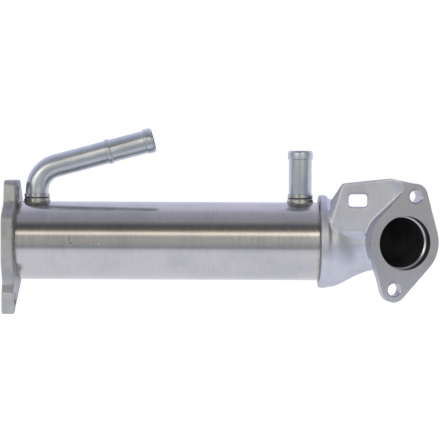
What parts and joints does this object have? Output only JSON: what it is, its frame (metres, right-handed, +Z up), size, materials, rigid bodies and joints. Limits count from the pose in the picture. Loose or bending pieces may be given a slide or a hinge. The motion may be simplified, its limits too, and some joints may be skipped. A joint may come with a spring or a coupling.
{
  "type": "egr cooler",
  "caption": "Shell and tube cooler for exhaust gas: round shell, bolted inlet flange, bent and straight coolant pipes, cast elbow outlet with ribbed web and two-bolt flange.",
  "frame": {"origin": "centre of the gas inlet port, on the mating face of the inlet flange", "axes": "+X along the shell towards the outlet, +Z up along the straight coolant pipe, -Y the side that the outlet faces"},
  "size_m": [0.2987, 0.0889, 0.1284],
  "materials": {
    "flange_steel": "satin",
    "shell_steel": "satin",
    "pipe_steel": "polished",
    "bundle_steel": "satin",
    "cast_steel": "blasted, machined on the flange face"
  },
  "bodies": {
    "root": {"inlet_flange": "flange_steel", "shell": "shell_steel", "coolant_inlet_pipe": "pipe_steel", "coolant_outlet_pipe": "pipe_steel", "coolant_inlet_collar": "flange_steel", "coolant_outlet_collar": "flange_steel", "outlet_casting": "cast_steel", "inlet_header_plate": "bundle_steel", "outlet_header_plate": "bundle_steel", "gas_tube_01": "bundle_steel", "gas_tube_02": "bundle_steel", "gas_tube_03": "bundle_steel", "gas_tube_04": "bundle_steel", "gas_tube_05": "bundle_steel", "gas_tube_06": "bundle_steel", "gas_tube_07": "bundle_steel", "gas_tube_08": "bundle_steel", "gas_tube_09": "bundle_steel", "gas_tube_10": "bundle_steel", "gas_tube_11": "bundle_steel", "gas_tube_12": "bundle_steel", "gas_tube_13": "bundle_steel", "gas_tube_14": "bundle_steel", "gas_tube_15": "bundle_steel", "gas_tube_16": "bundle_steel", "gas_tube_17": "bundle_steel", "gas_tube_18": "bundle_steel", "gas_tube_19": "bundle_steel", "tube_support_front": "bundle_steel", "tube_support_rear": "bundle_steel"}
  },
  "joints": []
}
